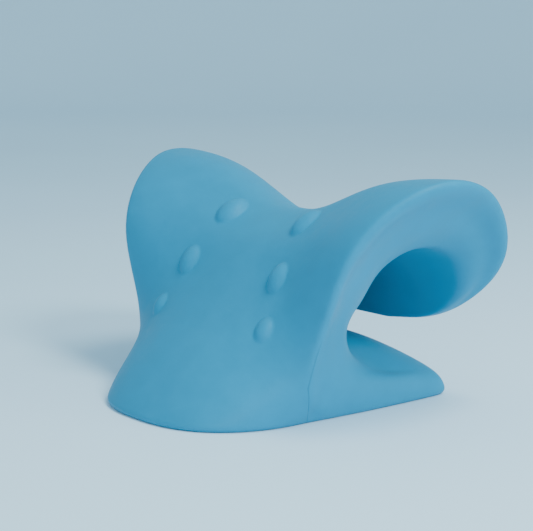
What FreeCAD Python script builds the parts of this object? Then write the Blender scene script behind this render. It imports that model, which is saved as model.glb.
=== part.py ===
import FreeCAD, Part
import math
import os
from FreeCAD import Vector

# Foam neck stretcher, in millimetres. X runs from ear to ear, the nodule face looks toward -Y,
# the mouth of the C opens toward +Y and the flat underside stands on Z = 0.

# The ear ridge, seen from the side, is a straight spine line that turns into one circle.
RIDGE_RADIUS = 60.0
RIDGE_CENTRE_Y = 29.5
RIDGE_CENTRE_Z = 72.0

# Underside
SOLE_BEVEL = 2.0

# The bending line across the spine wall, and the round seam that goes with it.
HINGE_Y = -18.5
HINGE_Z = 50.0
SEAM_RADIUS = 31.6
SEAM_GAP = 0.3
SEAM_REAR_ANGLE = 0.0
SEAM_EXIT_Y = 115.0
SEAM_EXIT_Z = 27.0

# The flat divisions between spine, saddle and curl fan out from this line inside the hollow.
# Each angle is measured in side view from the direction of the mouth, up over the top.
HOLLOW_MIDDLE_Y = 30.0
HOLLOW_MIDDLE_Z = 62.0
SADDLE_FROM_ANGLE = 60.0
SADDLE_TO_ANGLE = 150.0
SPINE_TO_ANGLE = 290.0

# Massage nodules: half sizes of the egg shape, and how far its middle sits under the skin.
NODULE_LENGTH = 11.9
NODULE_WIDTH = 8.6
NODULE_HEIGHT = 7.4
NODULE_SUNK = 3.0

# Each nodule row: sideways place, place up the face, and size compared with the top row.
NODULE_ROWS = (
    (46.6, -37.5, 49.6, 0.65),
    (39.6, -22.0, 75.2, 0.84),
    (32.7, 3.0, 103.6, 1.00),
)

# How the base outline rounds from its front or rear into its sides: smaller is squarer.
FRONT_SIDE_POWER = 0.79
FRONT_DEPTH_POWER = 0.91
REAR_SIDE_POWER = 0.6
REAR_DEPTH_POWER = 0.8

# The saddle's cross-section: the share of an even bow, and how flat the bottom of the dip is.
SADDLE_BOW_SHARE = 0.1
SADDLE_FLATNESS = 1.35

# The side band: a blunt rim under the ridge, then a shallow hollow that swells toward the edge.
BAND_ROLL = 1.6
BAND_PLACES = (0.08, 0.22, 0.36, 0.5, 0.64, 0.78, 0.9)
WIDEST_RIM = 6.0
SMALLEST_RIM = 0.8
RIM_BULGE = 0.4
RIM_BULGE_PLACE = 0.55
BASE_SIDE_BULGE = 1.5

# How far the soft corners reach along the skin on each side of the ridge and the inner edge.
RIDGE_SOFTNESS = 2.2
EDGE_SOFTNESS = 4.5
CORNER_SHARE = 0.3

RINGS_PER_STATION = 2
POINTS_PER_CURVE = 8
TOUCHING = 0.0001
REACH = 200.0


def ridge(angle):
    """Side-view place of the ridge at this angle up from its frontmost point."""
    turn = math.radians(angle)
    y = RIDGE_CENTRE_Y - RIDGE_RADIUS * math.cos(turn)
    z = RIDGE_CENTRE_Z + RIDGE_RADIUS * math.sin(turn)
    return y, z


# The four rails run from the ground edge, up the spine and over to the lip. At each station
# stand the outer middle (y, z), the ridge (x, y, z), the inner edge (x, y, z), the inner middle
# (y, z), and then four numbers: how much the ring is a rounded base outline, how deep the valley
# beside the middle is, how early the outer skin rises toward the ridge, and how wide the blunt
# rim under the ridge is.
STATIONS = (
    # base edge on the ground
    ((-90.5, 2.0), (66.0, -24.5, 2.0), (70.5, 73.0, 2.0), (90.5, 2.0), 1.0, 0.0, 0.0, 0.0),
    # low skirt and rounded rear edge
    ((-77.5, 19.0), (72.0, -30.5, 17.0), (66.0, 64.0, 14.5), (77.5, 20.0), 0.75, 1.0, 0.0, 1.0),
    # skirt, and floor behind the spine
    ((-61.5, 36.0), (76.0, -32.0, 32.0), (60.0, 38.0, 18.0), (54.0, 32.0), 0.5, 2.0, 0.0, 2.5),
    # foot of the spine
    ((-46.5, 50.5), (81.5, -31.0, 48.0), (60.5, 14.0, 31.0), (25.0, 39.5), 0.3, 2.0, 0.0, 3.5),
    # middle of the spine
    ((-32.5, 65.0), (90.0,) + ridge(-3.0), (69.0, 2.0, 50.0), (5.0, 53.0), 0.1, 3.0, 0.0, 4.5),
    # top of the spine
    ((-21.0, 78.5), (98.0,) + ridge(18.0), (72.0, 8.5, 62.5), (6.5, 64.0), 0.0, 3.5, 0.0, 5.5),
    # front slope of the saddle
    ((-8.5, 92.0), (105.8,) + ridge(40.0), (76.0, 14.5, 75.5), (12.5, 73.0), 0.0, 1.5, 0.0, 6.0),
    # shoulder of the saddle
    ((9.5, 102.0), (114.5,) + ridge(63.0), (81.0, 22.5, 85.0), (22.5, 79.0), 0.0, 0.0, 0.25, 6.0),
    # crest
    ((31.5, 105.0), (121.0,) + ridge(90.0), (86.0, 37.0, 91.0), (37.5, 81.0), 0.0, 0.0, 0.7, 6.0),
    # top of the curl
    ((64.0, 90.5), (117.0,) + ridge(127.0), (88.0, 57.5, 88.0), (55.5, 78.0), 0.0, 0.0, 0.25, 5.5),
    # back of the curl
    ((83.0, 73.0), (106.5,) + ridge(165.0), (86.5, 69.5, 75.0), (69.5, 67.0), 0.0, 0.0, 0.2, 4.5),
    # shoulder of the lip
    ((87.0, 54.0), (87.0,) + ridge(190.0), (79.5, 75.5, 59.0), (76.0, 52.0), 0.0, 0.0, 0.0, 3.0),
    # side of the lip
    ((86.5, 44.0), (65.0, 85.5, 47.0), (60.0, 78.5, 46.0), (77.5, 43.0), 0.0, 0.0, 0.0, 1.0),
    # round lower edge of the lip
    ((85.4, 40.4), (44.0, 84.8, 41.2), (40.5, 78.6, 40.6), (78.6, 39.8), 0.0, 0.0, 0.0, 0.0),
    # tip of the lip
    ((84.5, 38.3), (20.0, 84.5, 38.3), (18.0, 79.0, 37.9), (79.0, 37.9), 0.0, 0.0, 0.0, 0.0),
)


def spline(points):
    """A smooth curve through the points."""
    curve = Part.BSplineCurve()
    curve.interpolate(points)
    return curve


def rail(points):
    """A smooth curve through one point per station, with the station number as its parameter."""
    curve = Part.BSplineCurve()
    curve.interpolate(Points=points, Parameters=[float(i) for i in range(len(points))])
    return curve


OUTER_RAIL = rail([Vector(0.0, *station[0]) for station in STATIONS])
RIDGE_RAIL = rail([Vector(*station[1]) for station in STATIONS])
EDGE_RAIL = rail([Vector(*station[2]) for station in STATIONS])
INNER_RAIL = rail([Vector(0.0, *station[3]) for station in STATIONS])

# The four numbers are carried along in the same smooth way, two to a curve.
SHAPE_RAIL = rail([Vector(i, *station[4:6]) for i, station in enumerate(STATIONS)])
RIM_RAIL = rail([Vector(i, *station[6:8]) for i, station in enumerate(STATIONS)])


def mix(first, second, share):
    return first + (second - first) * share


def roundness(at):
    return SHAPE_RAIL.value(at).y


def outer_point(at, u):
    """A point of the outer skin, from the middle (u = 0) to the ridge (u = 1)."""
    middle = OUTER_RAIL.value(at)
    end = RIDGE_RAIL.value(at)
    along = OUTER_RAIL.tangent(at)[0]
    inward = Vector(0.0, along.z, -along.y)
    turn = u * math.pi / 2.0
    round_x = math.sin(turn) ** FRONT_SIDE_POWER
    round_away = 1.0 - math.cos(turn) ** FRONT_DEPTH_POWER
    early = u * (1.0 + RIM_RAIL.value(at).y * (1.0 - u))
    dip_away = ((1.0 - math.cos(math.pi * early)) / 2.0) ** SADDLE_FLATNESS
    saddle_away = mix(dip_away, u * u, SADDLE_BOW_SHARE)
    x = end.x * mix(u, round_x, roundness(at))
    away = mix(saddle_away, round_away, roundness(at))
    valley = SHAPE_RAIL.value(at).z * math.sin(math.pi * u) ** 2
    return Vector(x, mix(middle.y, end.y, away), mix(middle.z, end.z, away)) + inward * valley


def band_points(at):
    """The side band, from the ridge over its blunt rim and hollow to the inner edge."""
    start = RIDGE_RAIL.value(at)
    end = EDGE_RAIL.value(at)
    along = RIDGE_RAIL.tangent(at)[0]
    inward = Vector(0.0, along.z, -along.y)
    inward.normalize()
    rim_width = max(RIM_RAIL.value(at).z, 0.0)
    rim_end = start + inward * rim_width
    points = [start]
    if rim_width > SMALLEST_RIM:
        rim_middle = start + inward * (rim_width * RIM_BULGE_PLACE)
        points.append(rim_middle + Vector(RIM_BULGE, 0.0, 0.0))
    for u in BAND_PLACES:
        rolled = -BAND_ROLL * math.sin(2.0 * math.pi * u) * rim_width / WIDEST_RIM
        bulge = BASE_SIDE_BULGE * math.sin(math.pi * u) * roundness(at)
        points.append(rim_end + (end - rim_end) * u + Vector(rolled + bulge, 0.0, 0.0))
    return points + [end]


def inner_point(at, u):
    """A point of the inner skin, from the inner edge (u = 0) to the middle (u = 1)."""
    edge = EDGE_RAIL.value(at)
    middle = INNER_RAIL.value(at)
    turn = (1.0 - u) * math.pi / 2.0
    x = edge.x * mix(1.0 - u, math.sin(turn) ** REAR_SIDE_POWER, roundness(at))
    flat_away = (1.0 - math.cos(math.pi * (1.0 - u))) / 2.0
    away = mix(flat_away, 1.0 - math.cos(turn) ** REAR_DEPTH_POWER, roundness(at))
    return Vector(x, mix(middle.y, edge.y, away), mix(middle.z, edge.z, away))


def mirrored(points):
    return [Vector(-p.x, p.y, p.z) for p in reversed(points)]


def shortened(curve, at_start, at_end):
    """The curve with this much of its length taken off each end."""
    first = curve.parameterAtDistance(at_start, curve.FirstParameter)
    last = curve.parameterAtDistance(curve.length() - at_end, curve.FirstParameter)
    curve.segment(first, last)
    return curve


def corner(before, middle, after):
    """A soft corner between two curves that pointed at the middle before they were shortened."""
    bend = Part.BezierCurve()
    bend.setPoles([before.EndPoint, middle, after.StartPoint])
    return bend


def ring(at):
    """One closed cross-section: outer skin, right band, inner skin, left band, soft corners."""
    steps = [i / POINTS_PER_CURVE for i in range(POINTS_PER_CURVE + 1)]
    outer = [outer_point(at, u) for u in steps]
    band = band_points(at)
    inner = [inner_point(at, u) for u in steps]
    curves = [
        spline(mirrored(outer)[:-1] + outer),
        spline(band),
        spline(inner[:-1] + mirrored(inner)),
        spline(mirrored(band)),
    ]
    corners = [band[0], band[-1], mirrored(band)[0], mirrored(band)[-1]]
    most = curves[1].length() * CORNER_SHARE
    ridge_cut = min(RIDGE_SOFTNESS, most)
    edge_cut = min(EDGE_SOFTNESS, most)
    shortened(curves[0], ridge_cut, ridge_cut)
    shortened(curves[1], ridge_cut, edge_cut)
    shortened(curves[2], edge_cut, edge_cut)
    shortened(curves[3], edge_cut, ridge_cut)
    edges = []
    for i, curve in enumerate(curves):
        following = curves[(i + 1) % len(curves)]
        edges.append(curve.toShape())
        edges.append(corner(curve, corners[i], following).toShape())
    return Part.Wire(edges)


def shrunk_outline(at_z):
    """The underside outline, drawn in by the bevel, at this height."""
    outline = ring(0.0)
    box = outline.BoundBox
    shrink = FreeCAD.Matrix()
    shrink.move(-box.Center)
    shrink.scale(1.0 - 2.0 * SOLE_BEVEL / box.XLength, 1.0 - 2.0 * SOLE_BEVEL / box.YLength, 1.0)
    shrink.move(Vector(box.Center.x, box.Center.y, at_z))
    return outline.transformGeometry(shrink)


def moulding():
    """The whole foam body as one solid, before it is divided."""
    count = (len(STATIONS) - 1) * RINGS_PER_STATION
    rings = [ring(i / RINGS_PER_STATION) for i in range(count + 1)]
    return Part.makeLoft(rings, True, False)


def sole():
    """The bevelled rim and flat face that the body stands on."""
    return Part.makeLoft([shrunk_outline(0.0), ring(0.0)], True, True)


def prism(side_view_edges):
    """A cutting block: a closed side-view outline, drawn out past both ears."""
    face = Part.Face(Part.Wire(side_view_edges))
    face.translate(Vector(-REACH, 0.0, 0.0))
    return face.extrude(Vector(2.0 * REACH, 0.0, 0.0))


def chain(points):
    """Straight edges joining the side-view (y, z) points."""
    places = [Vector(0.0, y, z) for y, z in points]
    return [Part.makeLine(a, b) for a, b in zip(places, places[1:])]


def above_seam(radius):
    """Everything above the round seam under the bending line, with the C hollow's mouth."""
    rear = math.radians(SEAM_REAR_ANGLE)
    middle = math.radians(-90.0)
    front_y = HINGE_Y - radius
    rear_y = HINGE_Y + radius * math.cos(rear)
    rear_z = HINGE_Z + radius * math.sin(rear)
    bottom_y = HINGE_Y + radius * math.cos(middle)
    bottom_z = HINGE_Z + radius * math.sin(middle)
    seam = Part.Arc(
        Vector(0.0, front_y, HINGE_Z),
        Vector(0.0, bottom_y, bottom_z),
        Vector(0.0, rear_y, rear_z),
    ).toShape()
    outline = (
        (rear_y, rear_z),
        (SEAM_EXIT_Y, SEAM_EXIT_Z),
        (SEAM_EXIT_Y, REACH),
        (-SEAM_EXIT_Y, REACH),
        (-SEAM_EXIT_Y, HINGE_Z),
        (front_y, HINGE_Z),
    )
    return prism([seam] + chain(outline))


def nodule(place, size, normal):
    """One egg-shaped massage nodule, its long axis up the slope, sunk partly into the skin."""
    egg = Part.makeSphere(1.0)
    stretch = FreeCAD.Matrix()
    stretch.scale(NODULE_WIDTH * size, NODULE_LENGTH * size, NODULE_HEIGHT * size)
    egg = egg.transformGeometry(stretch)
    up_slope = Vector(0.0, normal.z, -normal.y)
    across = up_slope.cross(normal)
    up_slope = normal.cross(across)
    across.normalize()
    up_slope.normalize()
    centre = place - normal * (NODULE_SUNK * size)
    turn = FreeCAD.Matrix(
        across.x, up_slope.x, normal.x, centre.x,
        across.y, up_slope.y, normal.y, centre.y,
        across.z, up_slope.z, normal.z, centre.z,
        0.0, 0.0, 0.0, 1.0,
    )
    return egg.transformGeometry(turn)


def skin_below(body, place):
    """The nearest point of the body's skin to this place, and the outward direction there."""
    near = body.distToShape(Part.Vertex(place))
    foot = near[1][0][0]
    for face in body.Faces:
        touch = face.distToShape(Part.Vertex(foot))
        if touch[0] < TOUCHING:
            u, v = face.Surface.parameter(foot)
            normal = face.Surface.normal(u, v)
            break
    if normal.y > 0.0:
        normal = -normal
    return foot, normal


def wedge(from_angle, to_angle):
    """The part of space between two directions seen from the middle of the hollow."""
    outline = [(HOLLOW_MIDDLE_Y, HOLLOW_MIDDLE_Z)]
    for angle in (from_angle, (from_angle + to_angle) / 2.0, to_angle):
        turn = math.radians(angle)
        away_y = HOLLOW_MIDDLE_Y + 2.0 * REACH * math.cos(turn)
        away_z = HOLLOW_MIDDLE_Z + 2.0 * REACH * math.sin(turn)
        outline.append((away_y, away_z))
    outline.append(outline[0])
    return prism(chain(outline))


def nodules_on(body):
    """The six nodules, by name, standing on the skin of the body."""
    found = {}
    for row, (x, y, z, size) in zip(("lower", "middle", "upper"), NODULE_ROWS):
        for side, sign in (("left", -1.0), ("right", 1.0)):
            place, normal = skin_below(body, Vector(sign * x, y, z))
            found["nodule_" + row + "_" + side] = nodule(place, size, normal)
    return found


def main():
    os.makedirs("parts", exist_ok=True)
    body = moulding()
    foot = body.cut(above_seam(SEAM_RADIUS + SEAM_GAP)).fuse(sole()).removeSplitter()
    upper = body.common(above_seam(SEAM_RADIUS))
    nodules = nodules_on(upper)
    upper = upper.cut(Part.makeCompound(list(nodules.values())))
    saddle_block = wedge(SADDLE_FROM_ANGLE, SADDLE_TO_ANGLE)
    spine_block = wedge(SADDLE_TO_ANGLE, SPINE_TO_ANGLE)
    shapes = {
        "base_foot": foot,
        "flex_spine": upper.common(spine_block),
        "neck_saddle": upper.common(saddle_block),
        "head_curl": upper.cut(saddle_block).cut(spine_block),
    }
    shapes.update(nodules)
    for name, shape in shapes.items():
        shape.exportStep("parts/" + name + ".step")


main()
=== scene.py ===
import math

import bmesh
import bpy
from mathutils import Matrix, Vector


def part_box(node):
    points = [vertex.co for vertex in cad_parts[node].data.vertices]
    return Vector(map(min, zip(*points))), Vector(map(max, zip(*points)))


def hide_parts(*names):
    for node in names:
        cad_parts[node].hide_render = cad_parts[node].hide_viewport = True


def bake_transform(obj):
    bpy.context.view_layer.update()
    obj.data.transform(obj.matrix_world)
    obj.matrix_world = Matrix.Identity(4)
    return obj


# A foam neck stretcher on a pale studio floor. X runs from ear to ear, the nodule face looks toward -Y
# and Z is up. Lengths are in metres and angles in degrees; only the lens and its sensor are in
# millimetres. An azimuth of 0 is straight in front of the nodule face, and 90 is on the right, at +X.

# How the foam's one skin is made out of the CAD solids.
WELD = 0.00002
SEAM_FILL = 0.0003
VOXEL = 0.00075
SMOOTH_SHARE = 0.5
FIRST_SMOOTH_ROUNDS = 7
LATER_SMOOTH_ROUNDS = 24
NODULE_MARGIN = 0.0015
UNDERSIDE_DEPTH = 0.0002

# The mould's parting line climbs the side of the foot and fades out where the ear's ridge starts.
# Its y is given on the floor, at the height where it turns, and where it is gone.
PARTING_FLOOR_Y = -0.0240
PARTING_TURN_Y = -0.0308
PARTING_TOP_Y = -0.0284
PARTING_TURN_HEIGHT = 0.022
PARTING_FADE_HEIGHT = 0.040
PARTING_TOP_HEIGHT = 0.052
PARTING_INNERMOST_X = 0.060
PARTING_HALF_WIDTH = 0.00045
PARTING_CORE = 0.3 * PARTING_HALF_WIDTH

# The foam's colours, all almost without red: cloudy stretches, finer mottling, and the painted shade in
# the pores and along the parting line's groove.
CLOUD_COLOURS = (
    (0.30, (0.001, 0.248, 0.400)),
    (0.55, (0.001, 0.262, 0.425)),
    (0.75, (0.001, 0.277, 0.448)),
)
MOTTLE_COLOURS = (
    (0.32, (0.001, 0.239, 0.388)),
    (0.68, (0.001, 0.286, 0.462)),
)
# Painted shade for the middles of the pores.
PORE_SHADE_COLOUR = (0.001, 0.198, 0.327, 1.0)
# Painted shade for the groove of the parting line.
PARTING_SHADE_COLOUR = (0.001, 0.130, 0.228, 1.0)
MOTTLE_SHARE = 0.35
PORE_SHADE_SHARE = 0.25
PARTING_SHADE_SHARE = 0.45

# The patterns in the foam's skin: repeats to the metre, detail, roughness. The pores have only repeats.
CLOUD_NOISE = (11.0, 3.0, 0.55)
MOTTLE_NOISE = (85.0, 4.0, 0.6)
PEEL_NOISE = (420.0, 2.0, 0.5)
GRAIN_NOISE = (1500.0, 2.0, 0.6)
PORE_SCALE = 900.0

# Nearly all of a noise lies in this range.
NOISE_RANGE = (0.3, 0.7)

# How far the painted shade in a pore's middle and its dent reach, each from full to none.
PORE_SHADE_REACH = (0.02, 0.22)
PORE_DENT_REACH = (0.05, 0.38)

# How rough the skin is, and how much the grain adds or takes away.
ROUGHNESS_LOW = 0.43
ROUGHNESS_HIGH = 0.55
GRAIN_ROUGHNESS = 0.03

# The relief of the skin: the strength and the height of each pattern.
PEEL_RELIEF = (0.22, 0.00022)
PORE_RELIEF = (0.16, 0.00012)
GRAIN_RELIEF = (0.18, 0.00008)
PARTING_RELIEF = (0.6, 0.0003)

# How light meets the skin.
SKIN_OPTICS = {
    "IOR": 1.47,
    "Specular IOR Level": 0.24,
    "Subsurface Weight": 0.10,
    "Subsurface Radius": (0.0012, 0.0035, 0.0050),
    "Subsurface Scale": 0.6,
    "Sheen Weight": 0.02,
    "Sheen Roughness": 0.5,
}

# The camera stands in front of the nodule face, round to the right and a little raised.
CAMERA_AZIMUTH = 50.0
CAMERA_ELEVATION = 9.71
CAMERA_DISTANCE = 0.858
CAMERA_AIM = (0.0, 0.00265, 0.07465)
CAMERA_LENS = 101.3
CAMERA_SENSOR = 36.0
CAMERA_NEAREST = 0.01

# The studio: a round paper floor with a rim that sweeps up, and a pale blue sky.
FLOOR_RADIUS = 2.4
FLOOR_SEGMENTS = 96
FLOOR_WELD = 0.0001
SWEEP_RADIUS = 0.9
SWEEP_STEPS = 14
FLOOR_COLOUR = (0.76, 0.91, 0.99)
FLOOR_UNEVENNESS = 0.02
FLOOR_ROUGHNESS = 0.6
FLOOR_CLOUD_NOISE = (1.7, 2.0, 0.5)
FLOOR_GRAIN_NOISE = (600.0, 3.0, 0.5)
FLOOR_RELIEF = (0.05, 0.0002)
SKY_COLOUR = (0.48, 0.80, 1.0)
SKY_STRENGTH = 0.85

# Each light: name, azimuth, elevation, distance, size, power.
LIGHTS = (
    ("front_right", 50.0, 13.0, 1.7, 0.6, 5.5),
    ("right_side", 90.0, 42.0, 1.4, 0.4, 12.0),
    ("overhead", 125.0, 68.0, 1.2, 0.45, 7.0),
    ("rear_right", 122.0, 16.0, 1.3, 0.5, 2.5),
)
LIGHTS_COLOUR = (0.80, 0.95, 1.0)
LIGHTS_AIM = (0.0, 0.0, 0.07)


# ---------------------------------------------------------------- materials


class Nodes:
    """A small helper that adds shader nodes and joins them."""

    def __init__(self, name):
        self.material = bpy.data.materials.new(name)
        self.material.use_nodes = True
        self.tree = self.material.node_tree
        self.shader = self.tree.nodes["Principled BSDF"]
        self.place = self.add("ShaderNodeTexCoord").outputs["Object"]

    def add(self, kind, **inputs):
        node = self.tree.nodes.new(kind)
        for label, value in inputs.items():
            self.feed(node.inputs[label.replace("_", " ")], value)
        return node

    def feed(self, socket, value):
        if isinstance(value, bpy.types.NodeSocket):
            self.tree.links.new(value, socket)
        else:
            socket.default_value = value

    def noise(self, scale, detail, roughness):
        node = self.add(
            "ShaderNodeTexNoise",
            Vector=self.place,
            Scale=scale,
            Detail=detail,
            Roughness=roughness,
        )
        return node.outputs["Fac"]

    def distance_to_pores(self, scale):
        return self.add("ShaderNodeTexVoronoi", Vector=self.place, Scale=scale).outputs["Distance"]

    def math(self, operation, first, second=0.0):
        node = self.tree.nodes.new("ShaderNodeMath")
        node.operation = operation
        self.feed(node.inputs[0], first)
        self.feed(node.inputs[1], second)
        return node.outputs[0]

    def spread(self, value, low, high, to_low, to_high, course="SMOOTHSTEP"):
        node = self.add("ShaderNodeMapRange", Value=value)
        node.interpolation_type = course
        for label, number in (
            ("From Min", low),
            ("From Max", high),
            ("To Min", to_low),
            ("To Max", to_high),
        ):
            self.feed(node.inputs[label], number)
        return node.outputs["Result"]

    def straight(self, value, low, high, to_low, to_high):
        return self.spread(value, low, high, to_low, to_high, "LINEAR")

    def ramp(self, value, stops):
        node = self.add("ShaderNodeValToRGB", Fac=value)
        elements = node.color_ramp.elements
        while len(elements) < len(stops):
            # Its real place is set in the loop below.
            elements.new(0.5)
        for element, (position, colour) in zip(elements, stops):
            element.position = position
            element.color = (*colour, 1.0)
        return node.outputs["Color"]

    def blend_colours(self, share, first, second):
        node = self.tree.nodes.new("ShaderNodeMix")
        node.data_type = "RGBA"
        self.feed(node.inputs["Factor"], share)
        self.feed(node.inputs["A"], first)
        self.feed(node.inputs["B"], second)
        return node.outputs["Result"]

    def bump(self, height, relief, under=None):
        strength, distance = relief
        node = self.add("ShaderNodeBump", Height=height, Strength=strength, Distance=distance)
        if under is not None:
            self.feed(node.inputs["Normal"], under)
        return node.outputs["Normal"]


def parting_line(nodes):
    """1 on the thin line where the halves of the mould met, 0 away from it."""
    axes = nodes.add("ShaderNodeSeparateXYZ", Vector=nodes.place).outputs
    height = axes["Z"]
    to_turn = nodes.straight(height, 0.0, PARTING_TURN_HEIGHT, PARTING_FLOOR_Y, PARTING_TURN_Y)
    gain = PARTING_TOP_Y - PARTING_TURN_Y
    past_turn = nodes.straight(height, PARTING_TURN_HEIGHT, PARTING_TOP_HEIGHT, 0.0, gain)
    line_y = nodes.math("ADD", to_turn, past_turn)
    off = nodes.math("ABSOLUTE", nodes.math("SUBTRACT", axes["Y"], line_y))
    near = nodes.spread(off, PARTING_CORE, PARTING_HALF_WIDTH, 1.0, 0.0)
    low = nodes.spread(height, PARTING_FADE_HEIGHT, PARTING_TOP_HEIGHT, 1.0, 0.0)
    beside = nodes.math("GREATER_THAN", nodes.math("ABSOLUTE", axes["X"]), PARTING_INNERMOST_X)
    return nodes.math("MULTIPLY", nodes.math("MULTIPLY", near, low), beside)


def foam_skin_material():
    """Cyan-blue polyurethane foam with its own closed, satin skin."""
    nodes = Nodes("foam_skin")
    cloud = nodes.noise(*CLOUD_NOISE)
    mottle = nodes.noise(*MOTTLE_NOISE)
    grain = nodes.noise(*GRAIN_NOISE)
    peel = nodes.noise(*PEEL_NOISE)
    from_pore = nodes.distance_to_pores(PORE_SCALE)
    line = parting_line(nodes)

    colour = nodes.blend_colours(
        MOTTLE_SHARE,
        nodes.ramp(cloud, CLOUD_COLOURS),
        nodes.ramp(mottle, MOTTLE_COLOURS),
    )
    # Painted shade: the middle of each pore is darkened toward the pore shade colour, where its dent
    # lies.
    painted_pore_shade = nodes.spread(from_pore, *PORE_SHADE_REACH, PORE_SHADE_SHARE, 0.0)
    colour = nodes.blend_colours(painted_pore_shade, colour, PORE_SHADE_COLOUR)
    # Painted shade: the parting line's groove is darkened toward the parting shade colour.
    painted_parting_shade = nodes.math("MULTIPLY", line, PARTING_SHADE_SHARE)
    colour = nodes.blend_colours(painted_parting_shade, colour, PARTING_SHADE_COLOUR)
    nodes.feed(nodes.shader.inputs["Base Color"], colour)

    broad_roughness = nodes.spread(mottle, *NOISE_RANGE, ROUGHNESS_LOW, ROUGHNESS_HIGH)
    fine_roughness = nodes.spread(grain, *NOISE_RANGE, -GRAIN_ROUGHNESS, GRAIN_ROUGHNESS)
    nodes.feed(nodes.shader.inputs["Roughness"], nodes.math("ADD", broad_roughness, fine_roughness))

    skin = nodes.bump(peel, PEEL_RELIEF)
    skin = nodes.bump(nodes.spread(from_pore, *PORE_DENT_REACH, 0.0, 1.0), PORE_RELIEF, skin)
    skin = nodes.bump(grain, GRAIN_RELIEF, skin)
    skin = nodes.bump(nodes.math("SUBTRACT", 1.0, line), PARTING_RELIEF, skin)
    nodes.feed(nodes.shader.inputs["Normal"], skin)

    for label, value in SKIN_OPTICS.items():
        nodes.feed(nodes.shader.inputs[label], value)
    return nodes.material


def floor_material():
    """Plain pale paper for the studio floor, with a faint unevenness."""
    nodes = Nodes("floor_paper")
    cloud = nodes.noise(*FLOOR_CLOUD_NOISE)
    pale = tuple(min(1.0, channel * (1.0 + FLOOR_UNEVENNESS)) for channel in FLOOR_COLOUR)
    deep = tuple(channel * (1.0 - FLOOR_UNEVENNESS) for channel in FLOOR_COLOUR)
    colour = nodes.ramp(cloud, tuple(zip(NOISE_RANGE, (deep, pale))))
    nodes.feed(nodes.shader.inputs["Base Color"], colour)
    nodes.feed(nodes.shader.inputs["Roughness"], FLOOR_ROUGHNESS)
    grain = nodes.noise(*FLOOR_GRAIN_NOISE)
    nodes.feed(nodes.shader.inputs["Normal"], nodes.bump(grain, FLOOR_RELIEF))
    return nodes.material


# ---------------------------------------------------------------- the foam moulding


def closed_copy(node):
    """A welded copy of a CAD node's mesh, pushed out a little so that neighbours overlap."""
    mesh = node.data.copy()
    work = bmesh.new()
    work.from_mesh(mesh)
    bmesh.ops.remove_doubles(work, verts=work.verts, dist=WELD)
    bmesh.ops.recalc_face_normals(work, faces=work.faces)
    work.normal_update()
    for vertex in work.verts:
        vertex.co += vertex.normal * SEAM_FILL
    work.to_mesh(mesh)
    work.free()
    copy = bpy.data.objects.new("copy_of_" + node.name, mesh)
    bpy.context.scene.collection.objects.link(copy)
    return copy


def joined(objects, name):
    """All the objects as one, under this name."""
    bpy.ops.object.select_all(action="DESELECT")
    for item in objects:
        item.select_set(True)
    bpy.context.view_layer.objects.active = objects[0]
    bpy.ops.object.join()
    objects[0].name = name
    objects[0].data.name = name
    return objects[0]


def apply_modifiers(item):
    """Turns what the modifiers make of the mesh into the mesh itself."""
    bpy.context.view_layer.update()
    evaluated = item.evaluated_get(bpy.context.evaluated_depsgraph_get())
    mesh = bpy.data.meshes.new_from_object(evaluated)
    item.modifiers.clear()
    item.data = mesh


def away_from_nodules(moulding, frame):
    """Marks the skin that is not on or beside a nodule, so that the nodules stay crisp."""
    boxes = [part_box(name) for name in frame["nodes"] if name.startswith("nodule")]
    group = moulding.vertex_groups.new(name="away_from_nodules")
    chosen = []
    for vertex in moulding.data.vertices:
        inside = any(
            all(
                low[i] - NODULE_MARGIN < vertex.co[i] < high[i] + NODULE_MARGIN
                for i in range(3)
            )
            for low, high in boxes
        )
        if not inside:
            chosen.append(vertex.index)
    group.add(chosen, 1.0, "REPLACE")
    return group.name


def smooth_skin(moulding, rounds, group=""):
    """Softens the skin, or only the part of it that is in the group."""
    smooth = moulding.modifiers.new("soft edges", "SMOOTH")
    smooth.factor = SMOOTH_SHARE
    smooth.iterations = rounds
    smooth.vertex_group = group
    apply_modifiers(moulding)


def foam_moulding(frame):
    """The whole object as one continuous skin, with soft edges where the regions meet."""
    copies = [closed_copy(node) for node in frame["nodes"].values()]
    moulding = joined(copies, "foam_moulding")
    remesh = moulding.modifiers.new("one skin", "REMESH")
    remesh.mode = "VOXEL"
    remesh.voxel_size = VOXEL
    apply_modifiers(moulding)
    smooth_skin(moulding, FIRST_SMOOTH_ROUNDS)
    smooth_skin(moulding, LATER_SMOOTH_ROUNDS, away_from_nodules(moulding, frame))
    moulding.vertex_groups.clear()
    for polygon in moulding.data.polygons:
        polygon.use_smooth = True
    return moulding


def rest_on_floor(moulding):
    """Flattens what the smoothing left of the underside back onto the floor plane."""
    lowest = min(vertex.co.z for vertex in moulding.data.vertices)
    for vertex in moulding.data.vertices:
        if vertex.co.z < lowest + UNDERSIDE_DEPTH:
            vertex.co.z = 0.0


# ---------------------------------------------------------------- stage


def turned_toward(azimuth, elevation):
    """The direction from the object to a viewer at this azimuth and elevation."""
    a = math.radians(azimuth)
    e = math.radians(elevation)
    return Vector((math.sin(a) * math.cos(e), -math.cos(a) * math.cos(e), math.sin(e)))


def look_at(item, target):
    """Turns a camera or a light, once it is in place, to face the target."""
    away = item.location - Vector(target)
    item.rotation_euler = away.to_track_quat("Z", "Y").to_euler()


def add_camera():
    data = bpy.data.cameras.new("camera")
    data.lens = CAMERA_LENS
    data.sensor_width = CAMERA_SENSOR
    data.clip_start = CAMERA_NEAREST
    camera = bpy.data.objects.new("camera", data)
    bpy.context.scene.collection.objects.link(camera)
    aim = Vector(CAMERA_AIM)
    camera.location = aim + turned_toward(CAMERA_AZIMUTH, CAMERA_ELEVATION) * CAMERA_DISTANCE
    look_at(camera, aim)
    bpy.context.scene.camera = camera


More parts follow.
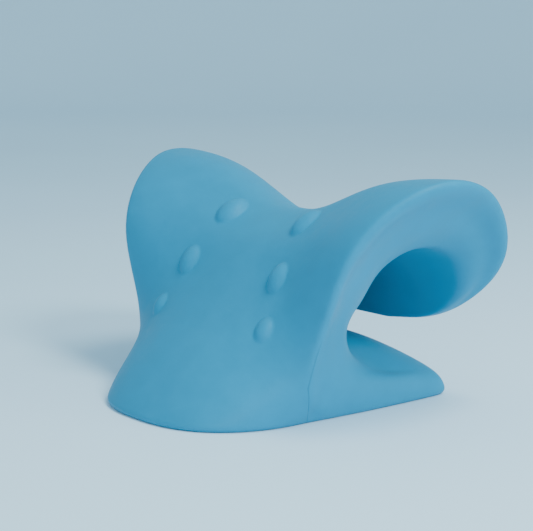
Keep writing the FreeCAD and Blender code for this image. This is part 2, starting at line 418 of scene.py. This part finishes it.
def add_area_light(name, azimuth, elevation, distance, size, power):
    data = bpy.data.lights.new(name, "AREA")
    data.shape = "DISK"
    data.size = size
    data.energy = power
    data.color = LIGHTS_COLOUR
    light = bpy.data.objects.new(name, data)
    bpy.context.scene.collection.objects.link(light)
    light.location = Vector(LIGHTS_AIM) + turned_toward(azimuth, elevation) * distance
    look_at(light, LIGHTS_AIM)


def floor_profile():
    """Half of the floor's section, from its middle out and up the quarter circle of the sweep."""
    places = [Vector((0.0, 0.0, 0.0))]
    for i in range(SWEEP_STEPS + 1):
        turn = math.radians(90.0) * i / SWEEP_STEPS
        x = FLOOR_RADIUS + SWEEP_RADIUS * math.sin(turn)
        z = SWEEP_RADIUS * (1.0 - math.cos(turn))
        places.append(Vector((x, 0.0, z)))
    return places


def add_floor():
    """A round pale floor whose rim sweeps up all round into a plain backdrop."""
    work = bmesh.new()
    corners = [work.verts.new(place) for place in floor_profile()]
    edges = [work.edges.new(pair) for pair in zip(corners, corners[1:])]
    bmesh.ops.spin(
        work,
        geom=corners + edges,
        axis=(0.0, 0.0, 1.0),
        cent=(0.0, 0.0, 0.0),
        angle=math.radians(360.0),
        steps=FLOOR_SEGMENTS,
    )
    bmesh.ops.remove_doubles(work, verts=work.verts, dist=FLOOR_WELD)
    bmesh.ops.recalc_face_normals(work, faces=work.faces)
    mesh = bpy.data.meshes.new("floor")
    work.to_mesh(mesh)
    work.free()
    for polygon in mesh.polygons:
        polygon.use_smooth = True
    mesh.materials.append(floor_material())
    floor = bpy.data.objects.new("floor", mesh)
    bpy.context.scene.collection.objects.link(floor)


def light_the_room():
    """The even pale sky and the four lights."""
    world = bpy.data.worlds.new("studio")
    bpy.context.scene.world = world
    world.use_nodes = True
    sky = world.node_tree.nodes["Background"]
    sky.inputs["Color"].default_value = (*SKY_COLOUR, 1.0)
    sky.inputs["Strength"].default_value = SKY_STRENGTH
    for light in LIGHTS:
        add_area_light(*light)


# ---------------------------------------------------------------- the scene


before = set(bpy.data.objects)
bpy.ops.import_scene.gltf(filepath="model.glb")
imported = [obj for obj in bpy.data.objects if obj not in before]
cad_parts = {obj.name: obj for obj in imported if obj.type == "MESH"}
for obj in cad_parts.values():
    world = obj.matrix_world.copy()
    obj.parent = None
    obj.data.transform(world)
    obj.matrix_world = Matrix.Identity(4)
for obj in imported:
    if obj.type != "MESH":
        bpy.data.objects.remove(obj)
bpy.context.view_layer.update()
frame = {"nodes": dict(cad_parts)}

moulding = foam_moulding(frame)
rest_on_floor(moulding)
moulding.data.materials.clear()
moulding.data.materials.append(foam_skin_material())

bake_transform(moulding)
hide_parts(*sorted(frame["nodes"]))

add_floor()
add_camera()
light_the_room()
